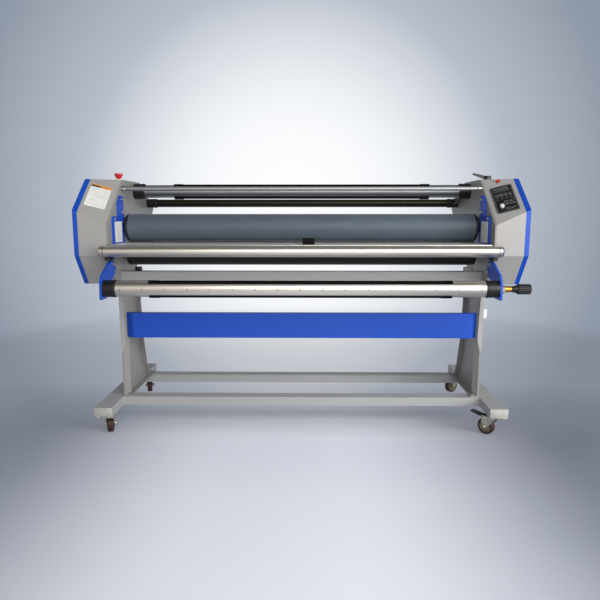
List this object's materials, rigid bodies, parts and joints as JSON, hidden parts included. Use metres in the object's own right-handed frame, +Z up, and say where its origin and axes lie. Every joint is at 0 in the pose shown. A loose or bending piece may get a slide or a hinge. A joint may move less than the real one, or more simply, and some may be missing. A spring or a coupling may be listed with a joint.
{
  "type": "cold roll laminator",
  "caption": "Wide-format cold roll laminator: nip rollers and roll shafts between two cased side frames, on a wheeled floor frame.",
  "frame": {"origin": "on the floor under the middle of the bounding box", "axes": "+X to the operator's right along the rollers, +Y from the feed side to the delivery side, +Z up"},
  "size_m": [1.929, 0.866, 1.166],
  "materials": {
    "casing_grey": "satin powder coat",
    "frame_grey": "satin powder coat",
    "blue_paint": "satin powder coat",
    "aluminium_tube": "drawn, anodised",
    "dark_tube": "black anodised",
    "black_plastic": "matt",
    "silicone": "fine ground silicone",
    "lower_silicone": "fine ground rubber",
    "machined_steel": "turned",
    "black_steel": "black",
    "grip_rubber": "ribbed",
    "table_sheet": "satin",
    "brass": "turned",
    "red_plastic": "gloss",
    "label_white": "film",
    "panel_black": "membrane",
    "knob_white": "gloss",
    "yellow_plastic": "matt",
    "zinc_steel": "zinc plated",
    "wheel_nylon": "moulded",
    "board_green": "circuit board",
    "motor_grey": "cast and painted"
  },
  "bodies": {
    "frame": {"foot_beams": "frame_grey", "cross_beams": "frame_grey", "side_frame_left": "frame_grey", "side_frame_right": "frame_grey", "front_panel": "blue_paint", "cross_member": "casing_grey", "casing_left": "casing_grey", "casing_right": "casing_grey", "side_covers": "blue_paint", "hex_bolts": "zinc_steel", "feed_table": "table_sheet", "nose_tube": "aluminium_tube", "table_brackets": "black_plastic", "sheet_sensor": "black_plastic", "guard_plates": "blue_paint", "label_plates": "label_white", "guide_bar": "aluminium_tube", "lower_bearings": "black_steel", "lift_guides": "machined_steel", "lift_cylinders": "aluminium_tube", "shaft_hubs": "black_plastic", "lower_arms": "blue_paint", "tension_collar": "brass", "drive_motor": "motor_grey", "drive_chain": "machined_steel", "control_board": "board_green", "power_inlet": "black_plastic", "control_panel": "panel_black", "estop_base": "yellow_plastic", "valve_body": "black_plastic", "caster_plates": "zinc_steel"},
    "lift": {"lift_blocks": "machined_steel"},
    "upper_roller": {"upper_roller_core": "black_steel", "upper_roller_sleeve": "silicone"},
    "lower_roller": {"lower_roller_core": "black_steel", "lower_roller_sleeve": "lower_silicone", "driven_sprocket": "machined_steel"},
    "motor_output": {"drive_sprocket": "machined_steel"},
    "supply_roll": {"supply_shaft": "aluminium_tube", "supply_grips": "grip_rubber"},
    "rear_roll": {"rear_shaft": "dark_tube"},
    "lower_roll": {"lower_shaft": "aluminium_tube", "lower_grips": "grip_rubber"},
    "tension_knob_body": {"tension_knob": "black_plastic"},
    "estop_button": {"estop_head": "red_plastic"},
    "speed_dial": {"speed_knob": "knob_white"},
    "power_switch": {"power_button": "red_plastic"},
    "valve_handle": {"valve_lever": "black_plastic"},
    "caster_front_left": {"caster_fork_front_left": "zinc_steel"},
    "wheel_front_left": {"caster_wheel_front_left": "wheel_nylon"},
    "pedal_front_left": {"brake_pedal_front_left": "black_plastic"},
    "caster_front_right": {"caster_fork_front_right": "zinc_steel"},
    "wheel_front_right": {"caster_wheel_front_right": "wheel_nylon"},
    "pedal_front_right": {"brake_pedal_front_right": "black_plastic"},
    "caster_rear_left": {"caster_fork_rear_left": "zinc_steel"},
    "wheel_rear_left": {"caster_wheel_rear_left": "wheel_nylon"},
    "pedal_rear_left": {"brake_pedal_rear_left": "black_plastic"},
    "caster_rear_right": {"caster_fork_rear_right": "zinc_steel"},
    "wheel_rear_right": {"caster_wheel_rear_right": "wheel_nylon"},
    "pedal_rear_right": {"brake_pedal_rear_right": "black_plastic"}
  },
  "joints": [
    {"name": "upper_roller_lift", "type": "slide", "parent": "frame", "child": "lift", "axis": [0, 0, 1], "range_m": [0, 0.028]},
    {"name": "upper_roller_spin", "type": "hinge", "parent": "lift", "child": "upper_roller", "pos_m": [0, -0.07, 0.91415], "axis": [1, 0, 0], "continuous": true},
    {"name": "lower_roller_spin", "type": "hinge", "parent": "frame", "child": "lower_roller", "pos_m": [0, -0.07, 0.79685], "axis": [1, 0, 0], "continuous": true},
    {"name": "drive_sprocket_spin", "type": "hinge", "parent": "frame", "child": "motor_output", "pos_m": [0.907, 0.149, 0.79], "axis": [1, 0, 0], "continuous": true},
    {"name": "supply_shaft_spin", "type": "hinge", "parent": "frame", "child": "supply_roll", "pos_m": [0, 0.109, 1.085], "axis": [1, 0, 0], "continuous": true},
    {"name": "rear_shaft_spin", "type": "hinge", "parent": "frame", "child": "rear_roll", "pos_m": [0, 0.325, 1.032], "axis": [1, 0, 0], "continuous": true},
    {"name": "lower_shaft_spin", "type": "hinge", "parent": "frame", "child": "lower_roll", "pos_m": [0, -0.396, 0.6715], "axis": [1, 0, 0], "continuous": true},
    {"name": "tension_knob_turn", "type": "hinge", "parent": "frame", "child": "tension_knob_body", "pos_m": [0.9, -0.396, 0.6715], "axis": [1, 0, 0], "range_deg": [-360, 360]},
    {"name": "estop_press", "type": "slide", "parent": "frame", "child": "estop_button", "axis": [0, 0, -1], "range_m": [0, 0.004], "stiffness_N_per_m": 2000},
    {"name": "speed_knob_turn", "type": "hinge", "parent": "frame", "child": "speed_dial", "pos_m": [0.866, -0.235, 1.00373], "axis": [-0.3287, -0.6081, 0.7226], "range_deg": [0, 270]},
    {"name": "power_button_press", "type": "slide", "parent": "frame", "child": "power_switch", "axis": [0.3287, 0.6081, -0.7226], "range_m": [0, 0.002], "stiffness_N_per_m": 1500},
    {"name": "valve_lever_turn", "type": "hinge", "parent": "frame", "child": "valve_handle", "pos_m": [0.865, -0.011, 1.14], "axis": [0, 0, 1], "range_deg": [-90, 0]},
    {"name": "caster_swivel_front_left", "type": "hinge", "parent": "frame", "child": "caster_front_left", "pos_m": [-0.853, -0.291, 0.09], "axis": [0, 0, 1], "continuous": true},
    {"name": "wheel_spin_front_left", "type": "hinge", "parent": "caster_front_left", "child": "wheel_front_left", "pos_m": [-0.86077, -0.26202, 0.0375], "axis": [-0.9659, -0.2588, 0], "continuous": true},
    {"name": "brake_pedal_front_left", "type": "hinge", "parent": "caster_front_left", "child": "pedal_front_left", "pos_m": [-0.86335, -0.25236, 0.081], "axis": [-0.9659, -0.2588, 0], "range_deg": [0, 12]},
    {"name": "caster_swivel_front_right", "type": "hinge", "parent": "frame", "child": "caster_front_right", "pos_m": [0.853, -0.291, 0.09], "axis": [0, 0, 1], "continuous": true},
    {"name": "wheel_spin_front_right", "type": "hinge", "parent": "caster_front_right", "child": "wheel_front_right", "pos_m": [0.83372, -0.26802, 0.0375], "axis": [-0.766, -0.6428, 0], "continuous": true},
    {"name": "brake_pedal_front_right", "type": "hinge", "parent": "caster_front_right", "child": "pedal_front_right", "pos_m": [0.82729, -0.26036, 0.081], "axis": [-0.766, -0.6428, 0], "range_deg": [0, 12]},
    {"name": "caster_swivel_rear_left", "type": "hinge", "parent": "frame", "child": "caster_rear_left", "pos_m": [-0.853, 0.349, 0.09], "axis": [0, 0, 1], "continuous": true},
    {"name": "wheel_spin_rear_left", "type": "hinge", "parent": "caster_rear_left", "child": "wheel_rear_left", "pos_m": [-0.84473, 0.32016, 0.0375], "axis": [0.9613, 0.2756, 0], "continuous": true},
    {"name": "brake_pedal_rear_left", "type": "hinge", "parent": "caster_rear_left", "child": "pedal_rear_left", "pos_m": [-0.84198, 0.31055, 0.081], "axis": [0.9613, 0.2756, 0], "range_deg": [0, 12]},
    {"name": "caster_swivel_rear_right", "type": "hinge", "parent": "frame", "child": "caster_rear_right", "pos_m": [0.853, 0.349, 0.09], "axis": [0, 0, 1], "continuous": true},
    {"name": "wheel_spin_rear_right", "type": "hinge", "parent": "caster_rear_right", "child": "wheel_rear_right", "pos_m": [0.82842, 0.33179, 0.0375], "axis": [0.5736, -0.8192, 0], "continuous": true},
    {"name": "brake_pedal_rear_right", "type": "hinge", "parent": "caster_rear_right", "child": "pedal_rear_right", "pos_m": [0.82023, 0.32606, 0.081], "axis": [0.5736, -0.8192, 0], "range_deg": [0, 12]}
  ],
  "couplings": [
    {"joint": "drive_sprocket_spin", "follows": "lower_roller_spin", "ratio": 1.6667}
  ]
}
